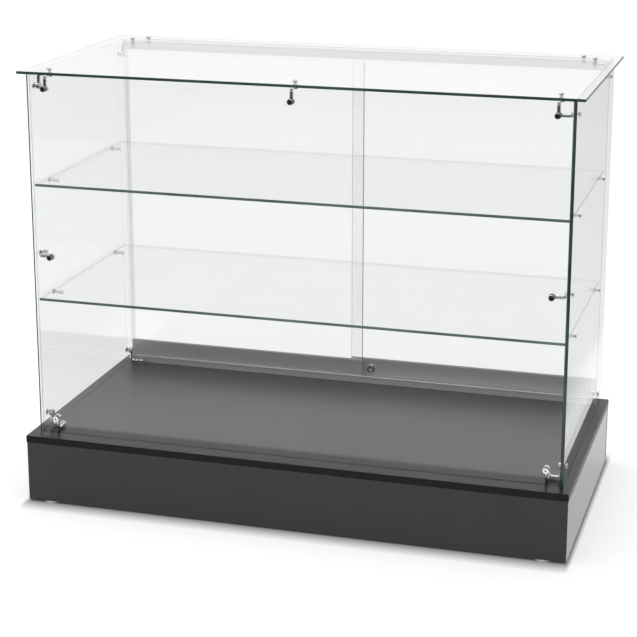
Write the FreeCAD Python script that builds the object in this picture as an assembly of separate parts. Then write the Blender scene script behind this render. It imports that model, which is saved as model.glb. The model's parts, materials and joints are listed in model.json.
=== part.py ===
import FreeCAD, Part
import math
import os

# Frameless glass display case on a black plinth.
# X runs to the viewer's right, Y to the rear and Z up, in millimetres.
# The origin is on the floor, under the middle of the plinth.
# Glass panes are joined by bent rod connectors with screws through the glass, two glass shelves lie
# on studs, and two glass doors roll in a double track at the rear.

os.makedirs("parts", exist_ok=True)
V = FreeCAD.Vector
UP = V(0, 0, 1)
DOWN = V(0, 0, -1)
REARWARD = V(0, 1, 0)
FORWARD = V(0, -1, 0)
SAME_POINT = 1e-6

# Plinth
BASE_W = 1219.0
BASE_D = 610.0
PLINTH_H = 152.0
BOARD_T = 16.0
PANEL_INSET = 1.0
DECK_EDGE_R = 1.0
STRETCHER_DROP = 100.0
BLOCK_W = 45.0
BLOCK_H = 60.0
DOWEL_D = 8.0
DOWEL_BITE = 10.0
DOWEL_CLEAR = 0.1
FRONT_DOWEL_STEP = 400.0
SIDE_DOWEL_STEP = 150.0

# Floor glides
GLIDE_H = 4.0
GLIDE_D = 42.0
GLIDE_FROM_SIDE = 52.0
GLIDE_FROM_FRONT = 22.0
GLIDE_EDGE = 1.0
GLIDE_SCREW_HEAD_D = 8.0
GLIDE_SCREW_HEAD_T = 2.0
GLIDE_SCREW_BITE = 14.0

# Glass box
GLASS_T = 6.0
GLASS_ARRIS = 0.7
SIDE_GLASS_H = 812.0
SIDE_MARGIN = 18.0
FRONT_MARGIN = 38.0
REAR_MARGIN = 9.0
TOP_SIDE_OVERHANG = 18.0
TOP_FRONT_OVERHANG = 10.0
TOP_REAR_OVERHANG = 9.0
PANE_GAP = 0.5

# Shelves and their studs
LOWER_SPACE = 304.0
MIDDLE_SPACE = 253.0
SHELF_END_GAP = 1.0
SHELF_FRONT_GAP = 2.0
SHELF_REAR_GAP = 22.0
STUD_FROM_FRONT = 91.0
STUD_FROM_REAR = 45.0
STUD_D = 7.0
STUD_FLANGE_T = 2.0
SLEEVE_D = 10.0
SLEEVE_L = 13.0
SLEEVE_CLEAR = 0.1
SHELF_SEAT = 0.2

# Bent rod connectors
LEG = 32.0
ROD_D = 8.0
BEND_R = 7.0
EYE_D = 14.0
EYE_RIM = 1.5
EYE_EDGE = 1.2
WASHER_T = 0.8
WASHER_RIM = 0.5
MID_CONNECTOR_ABOVE_SHELF = 96.0
REAR_CONNECTOR_CLEAR = 4.5

# Screws through the glass
SCREW_D = 4.0
SCREW_CLEAR = 0.15
SCREW_BITE = 5.0
BORE_SPARE = 0.6
HOLE_CLEAR = 1.5
CAP_D = 13.0
CAP_T = 2.0
CAP_EDGE = 0.6
SOCKET_FLATS = 4.0
SOCKET_DEPTH = 1.2
DECK_SCREW_HEAD_D = 8.0
DECK_SCREW_HEAD_T = 2.6
DECK_SCREW_BITE = 10.0

# Door tracks
TRACK_INSET = 4.0
TRACK_WALL = 2.0
TRACK_FLOOR = 2.5
LIP_H = 17.0
LIP_BEAD_OUT = 1.5
LIP_BEAD_H = 3.0
LIP_BEAD_EDGE = 0.8
TOP_TRACK_H = 22.0
TOP_PLATE_T = 2.0
TOP_FIN_T = 1.5
TOP_SIDE_GAP = 1.5
TRACK_SCREW_INSET = 61.5
JAMB_T = 2.0

# Sliding doors
DOOR_T = 5.0
DOOR_OVERLAP = 32.0
DOOR_END_GAP = 0.5
DOOR_TOP_BITE = 10.0
SHOE_WALL = 2.3
SHOE_SLOT_GAP = 0.2
SHOE_SIDE_GAP = 2.0
SHOE_LIFT = 2.5
SHOE_BITE = 16.0
ROLLER_D = 14.0
ROLLER_RISE = 0.3
ROLLER_SIDE_GAP = 0.4
ROLLER_FROM_END = 70.0
ROLLER_EDGE = 0.6
AXLE_D = 3.0
AXLE_FIT = 0.05
AXLE_RUN = 0.1

# Push lock on the right door
LOCK_FROM_EDGE = 51.0
LOCK_BARREL_D = 14.0
LOCK_BARREL_FIT = 0.1
LOCK_BARREL_PROUD = 1.0
LOCK_WEB_EDGE = 1.0
LOCK_LIP_CLEAR = 3.0
LOCK_NUT_D = 22.0
LOCK_NUT_T = 4.0
LOCK_NUT_EDGE = 1.0
LOCK_COLLAR_D = 19.0
LOCK_COLLAR_T = 1.5
PLUNGER_D = 8.0
PLUNGER_HEAD_D = 11.0
PLUNGER_HEAD_T = 8.0
PLUNGER_TRAVEL = 5.5
PLUNGER_RUN = 0.1
PLUNGER_SINK = 0.5
PLUG_D = 6.0
PLUG_T = 6.5
PLUG_RUN = 0.08
KEYWAY_W = 1.2
KEYWAY_H = 4.0
KEYWAY_DEPTH = 4.0

# Levels, from the floor up
z_base = GLIDE_H
z_deck = z_base + PLINTH_H
z_board = z_deck - BOARD_T
z_top = z_deck + SIDE_GLASS_H
z_lower_shelf = z_deck + LOWER_SPACE
z_upper_shelf = z_lower_shelf + GLASS_T + MIDDLE_SPACE
z_lip = z_deck + LIP_H
z_groove = z_deck + TRACK_FLOOR
z_lock = z_lip + LOCK_LIP_CLEAR + LOCK_NUT_D / 2
z_shoe_low = z_groove + SHOE_LIFT
z_web_low = z_lock - LOCK_BARREL_D / 2 - LOCK_WEB_EDGE
z_web_high = z_lock + LOCK_BARREL_D / 2 + LOCK_WEB_EDGE
z_shoe_high = z_web_high + SHOE_BITE
z_top_track = z_top - TOP_TRACK_H
z_door_high = z_top_track + DOOR_TOP_BITE

# Planes of the glass box
x_base = BASE_W / 2
y_base = BASE_D / 2
x_outer = x_base - SIDE_MARGIN
x_inner = x_outer - GLASS_T
y_front = -y_base + FRONT_MARGIN
y_inner = y_front + GLASS_T
y_rear = y_base - REAR_MARGIN

# Planes of the doors and their tracks
shoe_slot = DOOR_T + 2 * SHOE_SLOT_GAP
shoe_t = shoe_slot + 2 * SHOE_WALL
groove_w = shoe_t + 2 * SHOE_SIDE_GAP
door_pitch = groove_w + TRACK_WALL
track_w = 2 * groove_w + 3 * TRACK_WALL
y_track_rear = y_rear - TRACK_INSET
y_track_front = y_track_rear - track_w
y_left_door = y_track_front + TRACK_WALL + groove_w / 2
y_right_door = y_left_door + door_pitch
x_track = x_inner - PANE_GAP
x_door_end = x_inner - JAMB_T - DOOR_END_GAP
door_travel = x_door_end - DOOR_OVERLAP / 2

# Connector and screw sizes
eye_t = ROD_D + EYE_RIM
rod_offset = WASHER_T + eye_t / 2
screw_r = SCREW_D / 2
bore_r = screw_r + SCREW_CLEAR
hole_r = screw_r + HOLE_CLEAR
y_rear_connector = y_track_front - REAR_CONNECTOR_CLEAR - EYE_D / 2
z_mid_connector = z_lower_shelf + GLASS_T + MID_CONNECTOR_ABOVE_SHELF

# Shelf edges
y_shelf_front = y_inner + SHELF_FRONT_GAP
y_shelf_rear = y_track_front - SHELF_REAR_GAP
x_shelf = x_inner - SHELF_END_GAP


def save(name, shapes):
    """Write one sub-part: one solid, or a group of separate solids."""
    solids = shapes if isinstance(shapes, list) else [shapes]
    whole = solids[0] if len(solids) == 1 else Part.makeCompound(solids)
    whole.exportStep("parts/" + name + ".step")


def block(low, high):
    """Box between two corners."""
    return Part.makeBox(high[0] - low[0], high[1] - low[1], high[2] - low[2], V(*low))


def rod(radius, length, start, direction):
    """Round bar from a start point."""
    return Part.makeCylinder(radius, length, start, direction)


def edges_on(shape, axis, value):
    """Edges of a shape that lie wholly in one plane square to an axis (0, 1 or 2)."""
    return [e for e in shape.Edges if all(abs(v.Point[axis] - value) < SAME_POINT for v in e.Vertexes)]


def rims_at(shape, centre):
    """Whole circles of a shape round a centre point."""
    return [e for e in shape.Edges if e.Closed and (e.CenterOfMass - centre).Length < SAME_POINT]


def extrude_profile(points, x_low, x_high):
    """Solid with a profile of (y, z) points, carried along X."""
    corners = [V(x_low, y, z) for y, z in points]
    face = Part.Face(Part.makePolygon(corners + corners[:1]))
    return face.extrude(V(x_high - x_low, 0, 0))


def pane(low, high, holes=()):
    """Glass sheet with an arris on its rim, and holes given as (point on a face, direction)."""
    spans = [high[i] - low[i] for i in range(3)]
    thin = spans.index(min(spans))
    sheet = block(low, high)
    rim = edges_on(sheet, thin, low[thin]) + edges_on(sheet, thin, high[thin])
    sheet = sheet.makeChamfer(GLASS_ARRIS, rim)
    for point, direction in holes:
        sheet = sheet.cut(rod(hole_r, 3 * GLASS_T, point - direction * GLASS_T * 2, direction))
    return sheet


# Inner faces that the connectors sit on: a point on the face, and the way into the case
FACES = {
    "front": (V(0, y_inner, 0), V(0, 1, 0)),
    "left": (V(-x_inner, 0, 0), V(1, 0, 0)),
    "right": (V(x_inner, 0, 0), V(-1, 0, 0)),
    "top": (V(0, 0, z_top), V(0, 0, -1)),
    "deck": (V(0, 0, z_deck), V(0, 0, 1)),
}


def edge_point(faces, along):
    """Point on several faces at once, with its other coordinates taken from along."""
    place = [along.x, along.y, along.z]
    for face in faces:
        point, normal = FACES[face]
        for axis in range(3):
            if abs(normal[axis]) > 0.5:
                place[axis] = point[axis]
    return V(*place)


def bent_rod(bend, to_a, to_b):
    """Round rod from one eye to the other, with its two legs meeting in a bend."""
    leg = LEG - rod_offset
    corner_cut = BEND_R * (1 - math.sqrt(0.5))
    start = bend + to_a * leg
    arc_start = bend + to_a * BEND_R
    arc_middle = bend + (to_a + to_b) * corner_cut
    arc_end = bend + to_b * BEND_R
    end = bend + to_b * leg
    path = Part.Wire([
        Part.LineSegment(start, arc_start).toShape(),
        Part.Arc(arc_start, arc_middle, arc_end).toShape(),
        Part.LineSegment(arc_end, end).toShape(),
    ])
    section = Part.Wire([Part.Circle(start, to_a, ROD_D / 2).toShape()])
    return path.makePipeShell([section], True, False)


def eye(seat, normal):
    """Round eye on a face, with its free rim bevelled."""
    disc = rod(EYE_D / 2, eye_t, seat + normal * WASHER_T, normal)
    return disc.makeChamfer(EYE_EDGE, rims_at(disc, seat + normal * (WASHER_T + eye_t)))


def connector(shared, others, along):
    """Connector from a shared face to one or two other faces, and its list of eyes."""
    shared_normal = FACES[shared][1]
    corner = edge_point([shared] + others, along)
    normals = [FACES[other][1] for other in others]
    shared_seat = corner
    for normal in normals:
        shared_seat = shared_seat + normal * LEG
    eyes = [(shared, shared_seat)]
    body = eye(shared_seat, shared_normal)
    for other, normal in zip(others, normals):
        edge = shared_seat - normal * LEG
        seat = edge + shared_normal * LEG
        bend = edge + (shared_normal + normal) * rod_offset
        body = body.fuse([eye(seat, normal), bent_rod(bend, normal, shared_normal)])
        eyes.append((other, seat))
    for face, seat in eyes:
        normal = FACES[face][1]
        depth = WASHER_T + SCREW_BITE + BORE_SPARE
        if face == "deck":
            depth = WASHER_T + eye_t + BORE_SPARE
        body = body.cut(rod(bore_r, depth, seat, normal))
    return body.removeSplitter(), eyes


def cap_screw(outer, inward, shank):
    """Capped screw with a hexagon socket: outer is the point on the outside of the glass."""
    cap = rod(CAP_D / 2, CAP_T, outer, inward * -1)
    far = outer - inward * CAP_T
    cap = cap.makeChamfer(CAP_EDGE, rims_at(cap, far))
    side = V(inward.y, inward.z, inward.x)
    reach = SOCKET_FLATS / math.sqrt(3)
    turn = FreeCAD.Rotation(inward, 60)
    corners = [side * reach]
    for _ in range(5):
        corners.append(turn.multVec(corners[-1]))
    outline = Part.makePolygon([far + corner for corner in corners + corners[:1]])
    socket = Part.Face(outline).extrude(inward * SOCKET_DEPTH)
    return cap.cut(socket).fuse(rod(screw_r, shank, outer, inward))


def glass_screw(face, seat):
    """Screw from outside the glass into the eye of a connector."""
    normal = FACES[face][1]
    return cap_screw(seat - normal * GLASS_T, normal, GLASS_T + WASHER_T + SCREW_BITE)


def washer(face, seat):
    """Clear washer between an eye and the face that it sits on."""
    normal = FACES[face][1]
    disc = rod(EYE_D / 2 - WASHER_RIM, WASHER_T, seat, normal)
    return disc.cut(rod(hole_r, WASHER_T, seat, normal))


def deck_screw(seat):
    """Screw from above through an eye into the deck."""
    top = seat + UP * (WASHER_T + eye_t)
    head = rod(DECK_SCREW_HEAD_D / 2, DECK_SCREW_HEAD_T, top, UP)
    shank_length = WASHER_T + eye_t + DECK_SCREW_BITE
    return head.fuse(rod(screw_r, shank_length, top, DOWN))


# Connectors: the shared face, the other faces, and the place along the edge between them
middle = V(0, 0, 0)
half_way_up = V(0, 0, z_mid_connector)
rear = V(0, y_rear_connector, 0)
connector_plan = [
    ("connector_top_front_left", "top", ["front", "left"], middle),
    ("connector_top_front_centre", "top", ["front"], middle),
    ("connector_top_front_right", "front", ["top", "right"], middle),
    ("connector_middle_left", "front", ["left"], half_way_up),
    ("connector_middle_right", "front", ["right"], half_way_up),
    ("connector_bottom_front_left", "deck", ["front", "left"], middle),
    ("connector_bottom_front_right", "deck", ["front", "right"], middle),
    ("connector_top_rear_left", "top", ["left"], rear),
    ("connector_top_rear_right", "top", ["right"], rear),
    ("connector_bottom_rear_left", "deck", ["left"], rear),
    ("connector_bottom_rear_right", "deck", ["right"], rear),
]
seats = []
for name, shared, others, along in connector_plan:
    solid, eyes = connector(shared, others, along)
    save(name, solid)
    seats += eyes
save("connector_washers", [washer(face, seat) for face, seat in seats])


def seats_on(face):
    """Seats of the connectors on one face."""
    return [seat for where, seat in seats if where == face]


for face in ("front", "left", "right", "top"):
    save(face + "_glass_screws", [glass_screw(face, seat) for seat in seats_on(face)])
save("deck_screws", [deck_screw(seat) for seat in seats_on("deck")])

# Shelf studs, sleeves and screws
shelf_levels = (z_lower_shelf, z_upper_shelf)
stud_rows = (y_shelf_front + STUD_FROM_FRONT, y_shelf_rear - STUD_FROM_REAR)
stud_seats = []
for face in ("left", "right"):
    for level in shelf_levels:
        for y in stud_rows:
            place = V(0, y, level - SHELF_SEAT - SLEEVE_D / 2)
            stud_seats.append((face, edge_point([face], place)))


def shelf_stud(face, seat):
    """Metal stud with a flange that keeps the sleeve on."""
    normal = FACES[face][1]
    stud = rod(STUD_D / 2, SLEEVE_L, seat, normal)
    stud = stud.fuse(rod(SLEEVE_D / 2, STUD_FLANGE_T, seat + normal * SLEEVE_L, normal))
    return stud.cut(rod(bore_r, SCREW_BITE + BORE_SPARE, seat, normal))


def shelf_sleeve(face, seat):
    """Clear sleeve round a stud, which the shelf lies on."""
    normal = FACES[face][1]
    tube = rod(SLEEVE_D / 2, SLEEVE_L, seat, normal)
    return tube.cut(rod(STUD_D / 2 + SLEEVE_CLEAR, SLEEVE_L, seat, normal))


def stud_screw(face, seat):
    """Screw from outside the glass into a shelf stud."""
    normal = FACES[face][1]
    return cap_screw(seat - normal * GLASS_T, normal, GLASS_T + SCREW_BITE)


save("shelf_studs", [shelf_stud(face, seat) for face, seat in stud_seats])
save("shelf_sleeves", [shelf_sleeve(face, seat) for face, seat in stud_seats])
save("shelf_screws", [stud_screw(face, seat) for face, seat in stud_seats])

# Glass panes
track_screw_seats = [V(side * (x_inner - TRACK_SCREW_INSET), y_left_door + door_pitch / 2, z_top)
                     for side in (-1, 1)]


def holes_on(face):
    """Holes in one pane, for the connectors and for what else is screwed to it."""
    points = seats_on(face) + [seat for where, seat in stud_seats if where == face]
    if face == "top":
        points = points + track_screw_seats
    return [(point, FACES[face][1]) for point in points]


x_front = x_inner - PANE_GAP
x_cover = x_outer + TOP_SIDE_OVERHANG
save("front_glass", pane((-x_front, y_front, z_deck), (x_front, y_inner, z_top), holes_on("front")))
save("left_glass", pane((-x_outer, y_front, z_deck), (-x_inner, y_rear, z_top), holes_on("left")))
save("right_glass", pane((x_inner, y_front, z_deck), (x_outer, y_rear, z_top), holes_on("right")))
save("top_glass", pane((-x_cover, y_front - TOP_FRONT_OVERHANG, z_top),
                       (x_cover, y_rear + TOP_REAR_OVERHANG, z_top + GLASS_T), holes_on("top")))
for name, level in zip(("lower_shelf", "upper_shelf"), shelf_levels):
    save(name, pane((-x_shelf, y_shelf_front, level), (x_shelf, y_shelf_rear, level + GLASS_T)))

# Door tracks


def lip_bead(y_face, outward):
    """Outline of the bead along the lip of an outer wall, from its underside to its top."""
    y_bead = y_face + outward * LIP_BEAD_OUT
    return [
        (y_face, z_lip - LIP_BEAD_H), (y_bead, z_lip - LIP_BEAD_H),
        (y_bead, z_lip - LIP_BEAD_EDGE), (y_bead - outward * LIP_BEAD_EDGE, z_lip),
    ]


track_outline = [(y_track_front, z_deck), (y_track_rear, z_deck)] + lip_bead(y_track_rear, 1)
for y_door in (y_right_door, y_left_door):
    rear_side = y_door + groove_w / 2
    front_side = y_door - groove_w / 2
    track_outline += [
        (rear_side, z_lip), (rear_side, z_groove), (front_side, z_groove), (front_side, z_lip),
    ]
track_outline += reversed(lip_bead(y_track_front, -1))
save("bottom_track", extrude_profile(track_outline, -x_track, x_track))

top_groove = DOOR_T + 2 * TOP_SIDE_GAP
top_track = block((-x_track, y_track_front, z_top - TOP_PLATE_T), (x_track, y_track_rear, z_top))
for y_door in (y_left_door, y_right_door):
    for y_fin in (y_door - top_groove / 2 - TOP_FIN_T, y_door + top_groove / 2):
        fin = block((-x_track, y_fin, z_top_track), (x_track, y_fin + TOP_FIN_T, z_top - TOP_PLATE_T))
        top_track = top_track.fuse(fin)
track_screws = []
for seat in track_screw_seats:
    top_track = top_track.cut(rod(bore_r, TOP_PLATE_T, seat, DOWN))
    track_screws.append(cap_screw(seat + UP * GLASS_T, DOWN, GLASS_T + TOP_PLATE_T + SCREW_BITE))
save("top_track", top_track.removeSplitter())
save("track_screws", track_screws)
for name, side in (("left_jamb_strip", -1), ("right_jamb_strip", 1)):
    faces = sorted((side * x_inner, side * (x_inner - JAMB_T)))
    save(name, block((faces[0], y_track_front, z_lip), (faces[1], y_track_rear, z_top_track)))

# Sliding doors
lock_seat_x = -DOOR_OVERLAP / 2 + LOCK_FROM_EDGE
y_shoe_front = y_right_door - shoe_t / 2
y_shoe_rear = y_right_door + shoe_t / 2
z_axle = z_groove + ROLLER_RISE + ROLLER_D / 2


def door_shoe(x_low, x_high, y_door):
    """Metal rail under a door: a slot above for the glass and a channel below for the rollers."""
    half = shoe_t / 2
    slot = shoe_slot / 2
    outline = [
        (-half, z_shoe_low), (-half, z_shoe_high), (-slot, z_shoe_high), (-slot, z_web_high),
        (slot, z_web_high), (slot, z_shoe_high), (half, z_shoe_high), (half, z_shoe_low),
        (slot, z_shoe_low), (slot, z_web_low), (-slot, z_web_low), (-slot, z_shoe_low),
    ]
    return extrude_profile([(y_door + y, z) for y, z in outline], x_low, x_high)


def roller(x, y_door):
    """Roller with bevelled rims, on its axle's centre line."""
    width = shoe_slot - 2 * ROLLER_SIDE_GAP
    start = V(x, y_door - width / 2, z_axle)
    wheel = rod(ROLLER_D / 2, width, start, REARWARD)
    rims = rims_at(wheel, start) + rims_at(wheel, start + REARWARD * width)
    wheel = wheel.makeChamfer(ROLLER_EDGE, rims)
    return wheel.cut(rod(AXLE_D / 2 + AXLE_RUN, width, start, REARWARD))


def door(side, x_low, x_high, y_door):
    """One door: its glass, its shoe, its two axles and its two rollers."""
    shoe = door_shoe(x_low, x_high, y_door)
    axles = []
    for where, x in (("left", x_low + ROLLER_FROM_END), ("right", x_high - ROLLER_FROM_END)):
        start = V(x, y_door - shoe_t / 2, z_axle)
        shoe = shoe.cut(rod(AXLE_D / 2 + AXLE_FIT, shoe_t, start, REARWARD))
        axles.append(rod(AXLE_D / 2, shoe_t, start, REARWARD))
        save(side + "_door_" + where + "_roller", roller(x, y_door))
    if side == "right":
        start = V(lock_seat_x, y_shoe_rear, z_lock)
        shoe = shoe.cut(rod(LOCK_BARREL_D / 2 + LOCK_BARREL_FIT, shoe_t, start, FORWARD))
    save(side + "_door_shoe", shoe)
    save(side + "_door_axles", axles)
    glass_low = (x_low, y_door - DOOR_T / 2, z_web_high)
    save(side + "_door_glass", pane(glass_low, (x_high, y_door + DOOR_T / 2, z_door_high)))


door("left", -x_door_end, DOOR_OVERLAP / 2, y_left_door)
door("right", -DOOR_OVERLAP / 2, x_door_end, y_right_door)

# Push lock: the barrel passes through the shoe, the nut holds it from inside the case
lock_rear = V(lock_seat_x, y_shoe_rear, z_lock)
lock_front = V(lock_seat_x, y_shoe_front, z_lock)
plunger_bore = PLUNGER_D / 2 + PLUNGER_RUN
barrel_length = shoe_t + LOCK_NUT_T + LOCK_BARREL_PROUD
barrel = rod(LOCK_BARREL_D / 2, barrel_length, lock_rear, FORWARD)
barrel = barrel.fuse(rod(LOCK_COLLAR_D / 2, LOCK_COLLAR_T, lock_rear, REARWARD))
bore_start = lock_rear + REARWARD * LOCK_COLLAR_T
barrel = barrel.cut(rod(plunger_bore, LOCK_COLLAR_T + barrel_length, bore_start, FORWARD))
save("lock_barrel", barrel)
nut = rod(LOCK_NUT_D / 2, LOCK_NUT_T, lock_front, FORWARD)
nut = nut.makeChamfer(LOCK_NUT_EDGE, rims_at(nut, lock_front + FORWARD * LOCK_NUT_T))
save("lock_nut", nut.cut(rod(LOCK_BARREL_D / 2 + LOCK_BARREL_FIT, LOCK_NUT_T, lock_front, FORWARD)))

head_front = bore_start + REARWARD * (PLUNGER_TRAVEL + PLUNGER_SINK)
head_rear = head_front + REARWARD * PLUNGER_HEAD_T
pin_length = PLUNGER_TRAVEL + LOCK_COLLAR_T + shoe_t
plunger = rod(PLUNGER_D / 2, pin_length, head_front, FORWARD)
plunger = plunger.fuse(rod(PLUNGER_HEAD_D / 2, PLUNGER_HEAD_T, head_rear, FORWARD))
save("lock_plunger", plunger.cut(rod(PLUG_D / 2 + PLUG_RUN, PLUG_T, head_rear, FORWARD)))
plug = rod(PLUG_D / 2, PLUG_T, head_rear, FORWARD)
keyway = block((lock_seat_x - KEYWAY_W / 2, head_rear.y - KEYWAY_DEPTH, z_lock - KEYWAY_H / 2),
               (lock_seat_x + KEYWAY_W / 2, head_rear.y, z_lock + KEYWAY_H / 2))
save("lock_key_plug", plug.cut(keyway))

# Plinth
x_panel = x_base - PANEL_INSET
y_panel = y_base - PANEL_INSET
y_board = y_panel - BOARD_T
x_board = x_panel - BOARD_T
dowel_places = []
for side in (-1, 1):
    for step in (-1, 0, 1):
        dowel_places.append((step * FRONT_DOWEL_STEP, side * (y_panel - BOARD_T / 2)))
    for step in (-1, 1):
        dowel_places.append((side * (x_panel - BOARD_T / 2), step * SIDE_DOWEL_STEP))


def dowel(x, y, extra):
    """Dowel between a panel and the deck, or with extra added, the hole for it."""
    start = V(x, y, z_board - DOWEL_BITE - extra)
    return rod(DOWEL_D / 2 + extra, 2 * (DOWEL_BITE + extra), start, UP)


def drilled(board):
    """Board with the dowel holes that reach it."""
    return board.cut([dowel(x, y, DOWEL_CLEAR) for x, y in dowel_places])


deck = block((-x_base, -y_base, z_board), (x_base, y_base, z_deck))
deck = deck.makeFillet(DECK_EDGE_R, edges_on(deck, 2, z_deck))
pilot_depth = DECK_SCREW_BITE + BORE_SPARE
deck = deck.cut([rod(bore_r, pilot_depth, seat, DOWN) for seat in seats_on("deck")])
save("deck_panel", drilled(deck))
save("front_panel", drilled(block((-x_panel, -y_panel, z_base), (x_panel, -y_board, z_board))))
save("rear_panel", drilled(block((-x_panel, y_board, z_base), (x_panel, y_panel, z_board))))
save("left_panel", drilled(block((-x_panel, -y_board, z_base), (-x_board, y_board, z_board))))
save("right_panel", drilled(block((x_board, -y_board, z_base), (x_panel, y_board, z_board))))
save("deck_stretcher", block((-BOARD_T / 2, -y_board, z_board - STRETCHER_DROP),
                             (BOARD_T / 2, y_board, z_board)))
save("panel_dowels", [dowel(x, y, 0) for x, y in dowel_places])

# Corner blocks, floor glides and their screws
corner_blocks = []
glides = []
glide_screws = []
pilot_depth = GLIDE_H + GLIDE_SCREW_BITE + BORE_SPARE
for x_side in (-1, 1):
    for y_side in (-1, 1):
        x_span = sorted((x_side * x_board, x_side * (x_board - BLOCK_W)))
        y_span = sorted((y_side * y_board, y_side * (y_board - BLOCK_W)))
        foot = V(x_side * (x_base - GLIDE_FROM_SIDE), y_side * (y_base - GLIDE_FROM_FRONT), 0)
        wood = block((x_span[0], y_span[0], z_base), (x_span[1], y_span[1], z_base + BLOCK_H))
        corner_blocks.append(wood.cut(rod(bore_r, pilot_depth, foot, UP)))
        pad = rod(GLIDE_D / 2, GLIDE_H, foot, UP)
        pad = pad.makeChamfer(GLIDE_EDGE, rims_at(pad, foot))
        sunk_head = rod(GLIDE_SCREW_HEAD_D / 2 + SCREW_CLEAR, GLIDE_SCREW_HEAD_T + GLIDE_EDGE, foot, UP)
        glides.append(pad.cut(sunk_head).cut(rod(bore_r, GLIDE_H, foot, UP)))
        head_low = foot + UP * GLIDE_EDGE
        head = rod(GLIDE_SCREW_HEAD_D / 2, GLIDE_SCREW_HEAD_T, head_low, UP)
        shank = rod(screw_r, GLIDE_H - GLIDE_EDGE + GLIDE_SCREW_BITE, head_low, UP)
        glide_screws.append(head.fuse(shank))
save("corner_blocks", corner_blocks)
save("floor_glides", glides)
save("glide_screws", glide_screws)

print("door travel", door_travel, "roller radius", ROLLER_D / 2, "axle height", z_axle)
print("door planes", y_left_door, y_right_door, "door end", x_door_end, "lock", lock_seat_x, z_lock)
print("levels", z_deck, z_lower_shelf, z_upper_shelf, z_top_track, z_top, z_top + GLASS_T)
print("inner faces", x_inner, y_inner, "track front", y_track_front)
print("shelf edges", y_shelf_front, y_shelf_rear)
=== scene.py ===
"""Looks of a frameless glass display case on a black plinth.

The solids keep their shapes: each gets a finish of its own, and the case stands in soft white studio light.
Lengths are metres, in the frame of the solids: X to the right, Y to the rear and Z up.
A pair of numbers or colours gives the two ends of a range.
"""
import json
import math

import bpy
from mathutils import Matrix, Vector


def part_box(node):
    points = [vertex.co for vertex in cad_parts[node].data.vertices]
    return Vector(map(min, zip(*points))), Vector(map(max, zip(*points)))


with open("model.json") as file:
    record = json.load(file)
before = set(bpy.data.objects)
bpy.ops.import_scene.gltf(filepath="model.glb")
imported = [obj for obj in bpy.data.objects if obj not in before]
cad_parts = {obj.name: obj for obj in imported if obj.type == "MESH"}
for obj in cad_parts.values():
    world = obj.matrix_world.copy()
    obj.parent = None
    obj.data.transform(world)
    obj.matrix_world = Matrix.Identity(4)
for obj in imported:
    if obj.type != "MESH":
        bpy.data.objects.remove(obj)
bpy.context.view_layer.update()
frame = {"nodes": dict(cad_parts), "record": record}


def grey(value):
    """Opaque grey colour."""
    return (value, value, value, 1.0)


# Camera, in front of the case and to its right, above the top glass
CAMERA_PLACE = Vector((1.0946, -3.7774, 1.5951))
CAMERA_YAW = 0.28622
CAMERA_PITCH = 0.26151
CAMERA_LENS_MM = 102.33
CAMERA_SENSOR_MM = 36.0
CAMERA_SHIFT_Y = -0.1

# Soft box overhead
KEY_PLACE = Vector((-0.3, 0.1, 3.3))
KEY_SIZE = 3.0
KEY_POWER = 46.0

# Floor as the eye sees it: it glows white, more so far away, and not at the foot of the plinth
FLOOR_SIZE = 60.0
FLOOR_COLOUR = grey(0.55)
FLOOR_ROUGHNESS = 0.9
GLOW_STRENGTH = (0.61, 0.72)
GLOW_DISTANCE = (0.8, 3.4)
SHADOW_REACH = 0.05
SIDE_SHADOW_SHARE = 0.2

# Floor in reflections: a white pool round the case in a dark room
REFLECTED_GLOW = 0.6
POOL_RADIUS = (1.0, 1.9)
REFLECTION_REACH = (0.8, 1.2)
FRONT_TO_REAR = (-1.0, 1.0)
REAR_DARK_SHARE = 0.28
ROOM_FLOOR = grey(0.05)

# Light from all round, and the backdrop, walls and ceiling that reflections show
AMBIENT = 0.58
ROOM_WALL = 0.45
BACKDROP_EDGE = (-0.1, 0.35)
CEILING_EDGE = (0.4, 0.75)
CEILING_DIM = 0.25

# Textures
TEXTURE_DETAIL = 4.0
TONE_SPAN = (0.3, 0.7)

# Laminate, and the matt band on the edges of its boards
LAMINATE_COLOURS = ((0.0105, 0.0105, 0.0125, 1.0), (0.0155, 0.0155, 0.018, 1.0))
LAMINATE_SPECULAR = 0.53
LAMINATE_SCALE = 7.0
PANEL_ROUGHNESS = (0.05, 0.1)
PANEL_PEBBLE = 0.02
DECK_ROUGHNESS = (0.32, 0.38)
DECK_PEBBLE = 0.004
PEBBLE_SCALE = 1400.0
PEBBLE_DETAIL = 2.0
PEBBLE_HEIGHT = 0.0002
BAND_COLOURS = (grey(0.0035), grey(0.006))
BAND_SPECULAR = 0.22
BAND_ROUGHNESS = (0.3, 0.4)
BAND_SCALE = 60.0
BAND_DETAIL = 3.0
BOARD_FACE_LIMIT = 0.5

# Chrome, with painted shade: its colour darkens in recesses such as the sockets of the screws
CHROME_AND_RECESS_SHADE_COLOURS = (grey(0.02), grey(0.82))
CHROME_ROUGHNESS = (0.05, 0.14)
MARK_SCALE = 160.0
RECESS_SHADE_REACH = 0.003
RECESS_SHADE_SPAN = (0.62, 0.86)
SIDE_CAP_METALLIC = 0.55
STUD_METALLIC = 0.3

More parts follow.
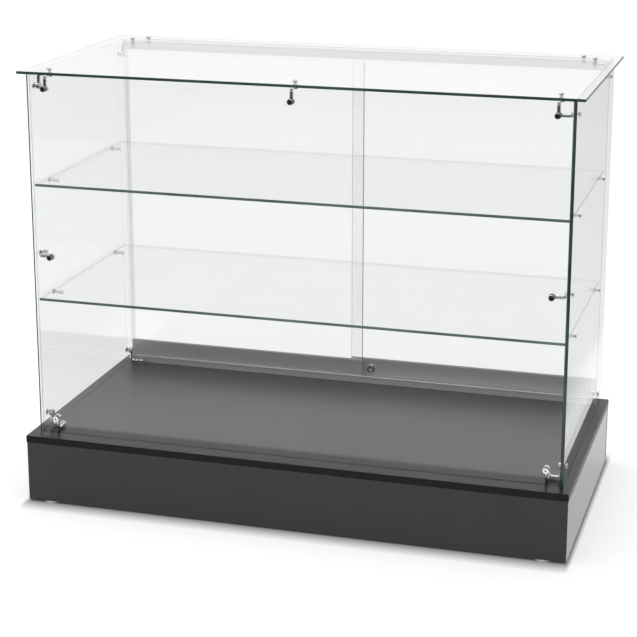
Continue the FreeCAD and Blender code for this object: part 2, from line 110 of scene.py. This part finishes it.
# Glass
GLASS_IOR = 1.5
PANE_TINT = (0.982, 0.985, 0.985, 1.0)
DOOR_TINT = (0.988, 0.990, 0.990, 1.0)
LEVEL_TINT = (0.993, 0.995, 0.9945, 1.0)
PANE_EDGE = ((0.03, 0.066, 0.056, 1.0), (0.075, 0.145, 0.125, 1.0))
SHELF_EDGE = ((0.14, 0.21, 0.19, 1.0), (0.28, 0.38, 0.35, 1.0))
EDGE_ROUGHNESS = 0.25
EDGE_SPECULAR = 0.5
EDGE_SCALE = 9.0
INNER_EDGE_SHOW = 0.15
LEFT_EDGE_LINE = 0.0032
FACE_LIMIT = 0.9
LEVEL_LIMIT = 0.5
LEVEL_EDGE_SHOW = 0.25
PANE_FACES_PASSED = 32

# Clear plastic, with a milky haze that covers a small share of what lies behind it
CLEAR_TINT = (0.996, 0.998, 0.998, 1.0)
HAZE_COLOURS = (grey(0.82), grey(0.9))
HAZE_ROUGHNESS = 0.3
HAZE_SHARE = (0.02, 0.06)
HAZE_SCALE = 120.0

# Opaque finishes by slot: a relief is a strength and a height, and a stretch draws the texture out
OPAQUE_FINISHES = {
    "raw_wood": {
        "colours": ((0.4, 0.27, 0.15, 1.0), (0.62, 0.47, 0.3, 1.0)),
        "roughness": (0.6, 0.8),
        "scale": 1.0,
        "detail": 6.0,
        "stretch": (140.0, 6.0, 140.0),
        "relief": (0.2, 0.0008),
        "Specular_IOR_Level": 0.3,
    },
    "white_plastic": {
        "colours": (grey(0.9), grey(0.95)),
        "roughness": (0.34, 0.46),
        "scale": 90.0,
    },
    "nylon": {
        "colours": ((0.78, 0.77, 0.7, 1.0), (0.86, 0.85, 0.79, 1.0)),
        "roughness": (0.29, 0.41),
        "scale": 90.0,
    },
    "steel": {
        "colours": (grey(0.42), grey(0.56)),
        "roughness": (0.25, 0.4),
        "scale": 400.0,
        "Metallic": 1.0,
    },
    "aluminium": {
        "colours": (grey(0.74), grey(0.82)),
        "roughness": (0.42, 0.55),
        "scale": 1.0,
        "detail": 3.0,
        "stretch": (2.0, 900.0, 900.0),
        "relief": (0.05, 0.0003),
        "Metallic": 0.6,
    },
}


def new_material(name):
    """Material with an empty node tree, and that tree."""
    material = bpy.data.materials.new(name)
    material.use_nodes = True
    material.node_tree.nodes.clear()
    return material, material.node_tree


def add(tree, kind, **inputs):
    """Node of a kind, with some of its inputs set: underscores in their names stand for spaces."""
    node = tree.nodes.new("ShaderNode" + kind)
    for name, value in inputs.items():
        node.inputs[name.replace("_", " ")].default_value = value
    return node


def join(tree, source, target):
    """Link between two sockets."""
    tree.links.new(source, target)


def lead_out(tree, shader, output="OutputMaterial"):
    """Lead a shader to the tree's output."""
    join(tree, shader, add(tree, output).inputs["Surface"])


def math_node(tree, operation, *values):
    """Math node: each value is a number or a socket."""
    node = add(tree, "Math")
    node.operation = operation
    for socket, value in zip(node.inputs, values):
        if isinstance(value, (int, float)):
            socket.default_value = value
        else:
            join(tree, value, socket)
    return node.outputs["Value"]


def between(tree, factor, low, high, span=(0.0, 1.0)):
    """Number that goes from low to high while a factor goes through a span."""
    node = add(tree, "MapRange", From_Min=span[0], From_Max=span[1], To_Min=low, To_Max=high)
    join(tree, factor, node.inputs["Value"])
    return node.outputs["Result"]


def ramp(tree, factor, colours, span=TONE_SPAN):
    """Colour that goes from one end to the other while a factor goes through a span."""
    node = add(tree, "ValToRGB")
    for element, place, colour in zip(node.color_ramp.elements, span, colours):
        element.position = place
        element.color = colour
    join(tree, factor, node.inputs["Fac"])
    return node.outputs["Color"]


def mixed(tree, factor, first, second):
    """Mix of two shaders: a factor of 0 shows the first."""
    node = add(tree, "MixShader")
    join(tree, factor, node.inputs["Fac"])
    join(tree, first, node.inputs[1])
    join(tree, second, node.inputs[2])
    return node.outputs["Shader"]


def noise(tree, scale, detail=TEXTURE_DETAIL, stretch=None):
    """Noise in the object's own space, drawn out by a stretch along the axes if one is given."""
    place = add(tree, "TexCoord").outputs["Object"]
    if stretch is not None:
        mapping = add(tree, "Mapping", Scale=stretch)
        join(tree, place, mapping.inputs["Vector"])
        place = mapping.outputs["Vector"]
    texture = add(tree, "TexNoise", Scale=scale, Detail=detail)
    join(tree, place, texture.inputs["Vector"])
    return texture.outputs["Fac"]


def bump(tree, texture, strength, height):
    """Normal from a texture."""
    node = add(tree, "Bump", Strength=strength, Distance=height)
    join(tree, texture, node.inputs["Height"])
    return node.outputs["Normal"]


def axis_parts(tree, vector):
    """X, Y and Z of a vector."""
    node = add(tree, "SeparateXYZ")
    join(tree, vector, node.inputs["Vector"])
    return node.outputs


def face_share(tree, axis):
    """How squarely a face looks along an axis (X, Y or Z) of the object, from 0 to 1."""
    normal = axis_parts(tree, add(tree, "TexCoord").outputs["Normal"])
    return math_node(tree, "ABSOLUTE", normal[axis])


def toned(tree, texture, colours, roughness, **inputs):
    """Opaque shader whose colour and roughness follow one texture."""
    shader = add(tree, "BsdfPrincipled", **inputs)
    join(tree, ramp(tree, texture, colours), shader.inputs["Base Color"])
    join(tree, between(tree, texture, *roughness), shader.inputs["Roughness"])
    return shader


def opaque(name, colours, roughness, scale, detail=TEXTURE_DETAIL, stretch=None, relief=None, **inputs):
    """Opaque finish that follows one noise, with a relief from it if one is given."""
    material, tree = new_material(name)
    texture = noise(tree, scale, detail, stretch)
    shader = toned(tree, texture, colours, roughness, **inputs)
    if relief is not None:
        join(tree, bump(tree, texture, *relief), shader.inputs["Normal"])
    lead_out(tree, shader.outputs["BSDF"])
    return material


def laminate(name, roughness, pebble_strength, face_axis=None):
    """Black laminate with a fine pebbled face.

    Where an axis is given, only the faces square to it are laminate, and the edges carry a darker matt band.
    """
    material, tree = new_material(name)
    tone = noise(tree, LAMINATE_SCALE)
    face = toned(tree, tone, LAMINATE_COLOURS, roughness, Specular_IOR_Level=LAMINATE_SPECULAR)
    pebble = noise(tree, PEBBLE_SCALE, PEBBLE_DETAIL)
    join(tree, bump(tree, pebble, pebble_strength, PEBBLE_HEIGHT), face.inputs["Normal"])
    surface = face.outputs["BSDF"]
    if face_axis is not None:
        grain = noise(tree, BAND_SCALE, BAND_DETAIL)
        band = toned(tree, grain, BAND_COLOURS, BAND_ROUGHNESS, Specular_IOR_Level=BAND_SPECULAR)
        on_face = math_node(tree, "GREATER_THAN", face_share(tree, face_axis), BOARD_FACE_LIMIT)
        surface = mixed(tree, on_face, band.outputs["BSDF"], surface)
    lead_out(tree, surface)
    return material


def glass(name, axis, tint, edge_colours=PANE_EDGE, green_until=None):
    """Float glass whose sheet lies square to an axis: clear faces, and edges that are green from outside.

    The level edges of an upright sheet are mostly clear. Where an X is given, the edges are green only to
    the left of it.
    """
    material, tree = new_material(name)
    backfacing = add(tree, "NewGeometry").outputs["Backfacing"]
    fresnel = add(tree, "Fresnel")
    index = math_node(tree, "MULTIPLY_ADD", backfacing, 1 / GLASS_IOR - GLASS_IOR, GLASS_IOR)
    join(tree, index, fresnel.inputs["IOR"])
    clear = add(tree, "BsdfTransparent", Color=tint)
    mirror = add(tree, "BsdfGlossy", Color=grey(1.0), Roughness=0.0)
    faces = mixed(tree, fresnel.outputs["Fac"], clear.outputs["BSDF"], mirror.outputs["BSDF"])
    edge = add(tree, "BsdfPrincipled", Roughness=EDGE_ROUGHNESS, Specular_IOR_Level=EDGE_SPECULAR)
    streaks = noise(tree, EDGE_SCALE)
    join(tree, ramp(tree, streaks, edge_colours), edge.inputs["Base Color"])
    on_edge = math_node(tree, "LESS_THAN", face_share(tree, axis), FACE_LIMIT)
    if axis != "Z":
        on_level = math_node(tree, "GREATER_THAN", face_share(tree, "Z"), LEVEL_LIMIT)
        on_edge = math_node(tree, "MULTIPLY", on_edge, between(tree, on_level, 1.0, LEVEL_EDGE_SHOW))
    if green_until is not None:
        place = axis_parts(tree, add(tree, "NewGeometry").outputs["Position"])
        on_left = math_node(tree, "LESS_THAN", place["X"], green_until)
        on_edge = math_node(tree, "MULTIPLY", on_edge, on_left)
    show = between(tree, backfacing, 1.0, INNER_EDGE_SHOW)
    edge_share = math_node(tree, "MULTIPLY", on_edge, show)
    lead_out(tree, mixed(tree, edge_share, faces, edge.outputs["BSDF"]))
    return material


def chrome(name, metallic=1.0):
    """Polished chrome with faint handling marks, and painted shade that darkens its colour inside its
    recesses.
    """
    material, tree = new_material(name)
    shader = add(tree, "BsdfPrincipled", Metallic=metallic)
    # Painted shade: occlusion within the piece turns the chrome colour dark in its recesses
    recess_shade = add(tree, "AmbientOcclusion", Distance=RECESS_SHADE_REACH)
    recess_shade.only_local = True
    join(tree, ramp(tree, recess_shade.outputs["AO"], CHROME_AND_RECESS_SHADE_COLOURS, RECESS_SHADE_SPAN), shader.inputs["Base Color"])
    marks = noise(tree, MARK_SCALE)
    join(tree, between(tree, marks, *CHROME_ROUGHNESS), shader.inputs["Roughness"])
    lead_out(tree, shader.outputs["BSDF"])
    return material


def clear_plastic():
    """Clear plastic with a faint haze."""
    material, tree = new_material("clear_plastic")
    clear = add(tree, "BsdfTransparent", Color=CLEAR_TINT)
    haze = add(tree, "BsdfPrincipled", Roughness=HAZE_ROUGHNESS)
    cloud = noise(tree, HAZE_SCALE)
    join(tree, ramp(tree, cloud, HAZE_COLOURS), haze.inputs["Base Color"])
    share = between(tree, cloud, *HAZE_SHARE)
    lead_out(tree, mixed(tree, share, clear.outputs["BSDF"], haze.outputs["BSDF"]))
    return material


def dress(material, *names):
    """Give a finish to some of the solids."""
    for name in names:
        for slot in frame["nodes"][name].material_slots:
            slot.material = material


def nodes_in_slot(slot):
    """Names of the solids that the record gives one finish."""
    return [part["node"] for part in frame["record"]["subparts"] if part["material_slot"] == slot]


def dress_case():
    """Give every solid its finish: a later one takes the place of an earlier one."""
    for slot, values in OPAQUE_FINISHES.items():
        dress(opaque(slot, **values), *nodes_in_slot(slot))
    dress(laminate("panel_laminate", PANEL_ROUGHNESS, PANEL_PEBBLE), *nodes_in_slot("black_laminate"))
    dress(laminate("rear_panel_laminate", PANEL_ROUGHNESS, PANEL_PEBBLE, "Y"), "rear_panel")
    dress(laminate("deck_laminate", DECK_ROUGHNESS, DECK_PEBBLE, "Z"), "deck_panel")
    dress(chrome("chrome"), *nodes_in_slot("chrome"))
    dress(chrome("side_cap_chrome", SIDE_CAP_METALLIC), "left_glass_screws", "right_glass_screws")
    dress(chrome("stud_chrome", STUD_METALLIC), "shelf_studs")
    dress(clear_plastic(), *nodes_in_slot("clear_plastic"))
    left_line_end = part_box("left_glass")[0][0] + LEFT_EDGE_LINE
    dress(glass("left_pane_glass", "X", PANE_TINT, green_until=left_line_end), "left_glass")
    dress(glass("right_pane_glass", "X", PANE_TINT), "right_glass")
    dress(glass("front_pane_glass", "Y", PANE_TINT), "front_glass")
    dress(glass("door_glass", "Y", DOOR_TINT), "left_door_glass", "right_door_glass")
    dress(glass("top_pane_glass", "Z", LEVEL_TINT), "top_glass")
    dress(glass("shelf_glass", "Z", LEVEL_TINT, SHELF_EDGE), "lower_shelf", "upper_shelf")


def level_distance(tree, x, y):
    """Length of a level vector, given by two sockets."""
    flat = add(tree, "CombineXYZ")
    join(tree, x, flat.inputs["X"])
    join(tree, y, flat.inputs["Y"])
    length = add(tree, "VectorMath")
    length.operation = "LENGTH"
    join(tree, flat.outputs["Vector"], length.inputs[0])
    return length.outputs["Value"]


def beyond(tree, place, reach):
    """How far a coordinate lies outside a span from minus to plus a reach."""
    outside = math_node(tree, "SUBTRACT", math_node(tree, "ABSOLUTE", place), reach)
    return math_node(tree, "MAXIMUM", outside, 0.0)


def make_floor():
    """White floor that keeps the shadow of the case.

    In reflections it is white near the case. It darkens beyond the pool and where a reflection comes from far
    above it, less so at the rear.
    """
    bpy.ops.mesh.primitive_plane_add(size=FLOOR_SIZE)
    floor = bpy.context.active_object
    floor.name = "floor"
    material, tree = new_material("floor")
    place = axis_parts(tree, add(tree, "TexCoord").outputs["Object"])
    from_middle = level_distance(tree, place["X"], place["Y"])
    sight = add(tree, "LightPath").outputs

    # What the eye sees: no glow close to the plinth, so that the shadow shows there
    plinth_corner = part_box("deck_panel")[1]
    beside_x = beyond(tree, place["X"], plinth_corner[0])
    beside_x = math_node(tree, "DIVIDE", beside_x, SIDE_SHADOW_SHARE)
    beside_y = beyond(tree, place["Y"], plinth_corner[1])
    clear_of_case = between(tree, level_distance(tree, beside_x, beside_y), 0.0, 1.0, (0.0, SHADOW_REACH))
    white_glow = between(tree, from_middle, *GLOW_STRENGTH, GLOW_DISTANCE)
    white_glow = math_node(tree, "MULTIPLY", clear_of_case, white_glow)
    seen = math_node(tree, "MAXIMUM", sight["Is Camera Ray"], sight["Is Transmission Ray"])
    seen_glow = math_node(tree, "MULTIPLY", seen, white_glow)
    glow = math_node(tree, "MULTIPLY_ADD", sight["Is Glossy Ray"], REFLECTED_GLOW, seen_glow)
    white = add(tree, "BsdfPrincipled", Base_Color=FLOOR_COLOUR, Roughness=FLOOR_ROUGHNESS)
    white.inputs["Specular IOR Level"].default_value = 0.0
    white.inputs["Emission Color"].default_value = grey(1.0)
    join(tree, glow, white.inputs["Emission Strength"])

    # What reflections show: the dark room's share
    beyond_pool = between(tree, from_middle, 0.0, 1.0, POOL_RADIUS)
    from_afar = between(tree, sight["Ray Length"], 0.0, 1.0, REFLECTION_REACH)
    rear_share = between(tree, place["Y"], 1.0, REAR_DARK_SHARE, FRONT_TO_REAR)
    away = math_node(tree, "MULTIPLY", math_node(tree, "MAXIMUM", beyond_pool, from_afar), rear_share)
    in_room = math_node(tree, "MULTIPLY", sight["Is Glossy Ray"], away)
    dark = add(tree, "BsdfDiffuse", Color=ROOM_FLOOR)
    lead_out(tree, mixed(tree, in_room, white.outputs["BSDF"], dark.outputs["BSDF"]))
    floor.data.materials.append(material)


def make_world():
    """White for the eye, a white backdrop in a dim room for reflections, and soft light for the rest."""
    world = bpy.data.worlds.new("studio")
    bpy.context.scene.world = world
    world.use_nodes = True
    tree = world.node_tree
    tree.nodes.clear()
    sight = add(tree, "LightPath").outputs
    direction = axis_parts(tree, add(tree, "TexCoord").outputs["Generated"])
    backdrop = between(tree, direction["Y"], ROOM_WALL, 1.0, BACKDROP_EDGE)
    ceiling = between(tree, direction["Z"], 1.0, CEILING_DIM, CEILING_EDGE)
    room = math_node(tree, "MULTIPLY", backdrop, ceiling)
    seen = math_node(tree, "MAXIMUM", sight["Is Camera Ray"], sight["Is Transmission Ray"])
    reflected = math_node(tree, "MULTIPLY", sight["Is Glossy Ray"], room)
    shown = math_node(tree, "MAXIMUM", seen, sight["Is Glossy Ray"])
    soft = math_node(tree, "SUBTRACT", 1.0, shown)
    strength = math_node(tree, "MULTIPLY_ADD", soft, AMBIENT, math_node(tree, "MAXIMUM", seen, reflected))
    light = add(tree, "Background", Color=grey(1.0))
    join(tree, strength, light.inputs["Strength"])
    lead_out(tree, light.outputs["Background"], "OutputWorld")


def make_key_light():
    """Large soft box overhead, a little to the left, that faces straight down."""
    lamp = bpy.data.lights.new("key_light", "AREA")
    lamp.shape = "SQUARE"
    lamp.size = KEY_SIZE
    lamp.energy = KEY_POWER
    holder = bpy.data.objects.new("key_light", lamp)
    holder.location = KEY_PLACE
    bpy.context.scene.collection.objects.link(holder)


def make_camera():
    """Camera that looks from its place by yaw and pitch, with no roll."""
    data = bpy.data.cameras.new("camera")
    data.lens = CAMERA_LENS_MM
    data.sensor_width = CAMERA_SENSOR_MM
    data.shift_y = CAMERA_SHIFT_Y
    camera = bpy.data.objects.new("camera", data)
    ahead = Vector((-math.sin(CAMERA_YAW) * math.cos(CAMERA_PITCH),
                    math.cos(CAMERA_YAW) * math.cos(CAMERA_PITCH),
                    -math.sin(CAMERA_PITCH)))
    turn = ahead.to_track_quat("-Z", "Y").to_matrix().to_4x4()
    camera.matrix_world = Matrix.Translation(CAMERA_PLACE) @ turn
    bpy.context.scene.collection.objects.link(camera)
    bpy.context.scene.camera = camera


dress_case()
make_floor()
make_world()
make_key_light()
make_camera()
bpy.context.scene.view_settings.view_transform = "Standard"
bpy.context.scene.cycles.transparent_max_bounces = PANE_FACES_PASSED
